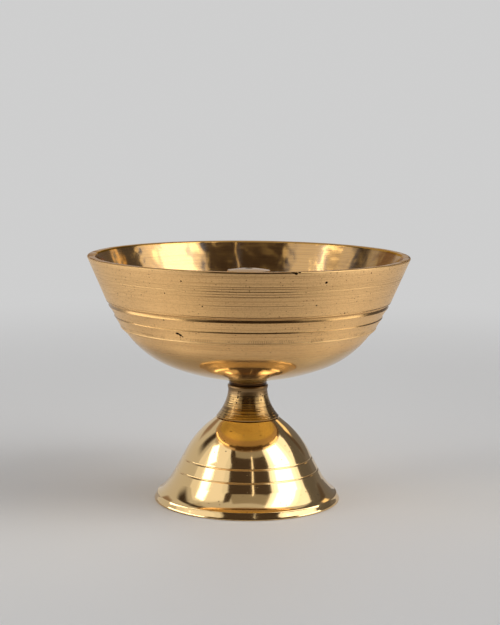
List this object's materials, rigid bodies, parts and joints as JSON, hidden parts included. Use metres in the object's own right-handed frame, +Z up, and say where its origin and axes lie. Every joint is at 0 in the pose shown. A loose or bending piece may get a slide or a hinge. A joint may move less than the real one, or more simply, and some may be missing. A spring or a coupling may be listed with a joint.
{
  "type": "butter lamp",
  "caption": "Turned brass butter lamp: a wide stepped bowl with a loose wick post, screwed to a short concave neck on a hollow bell foot.",
  "frame": {"origin": "centre of the foot's base ring, on the surface that the lamp stands on", "axes": "+Z up along the axis that every piece is turned about; the lamp has no front, so +X and +Y are free"},
  "size_m": [0.1, 0.1, 0.077],
  "materials": {
    "mirror_brass": "mirror polished",
    "rough_brass": "rough turned, pitted",
    "steel": "plain zinc",
    "thread_brass": "machined",
    "satin_brass": "satin turned",
    "polished_brass": "polished"
  },
  "bodies": {
    "base": {"foot": "mirror_brass", "neck": "rough_brass", "washer": "steel", "nut": "steel"},
    "stud": {"stud": "thread_brass"},
    "bowl": {"bowl": "satin_brass"},
    "wick_holder": {"wick_holder": "polished_brass"}
  },
  "joints": [
    {"name": "bowl_rise", "type": "slide", "parent": "base", "child": "stud", "axis": [0, 0, 1], "range_m": [0, 0.0075]},
    {"name": "bowl_unscrew", "type": "hinge", "parent": "stud", "child": "bowl", "pos_m": [0, 0, 0.0363], "axis": [0, 0, 1], "range_deg": [0, 2160]},
    {"name": "wick_holder_lift", "type": "slide", "parent": "bowl", "child": "wick_holder", "axis": [0, 0, 1], "range_m": [0, 0.036]}
  ],
  "couplings": [
    {"joint": "bowl_rise", "follows": "bowl_unscrew", "m_per_rad": 0.00019894}
  ]
}
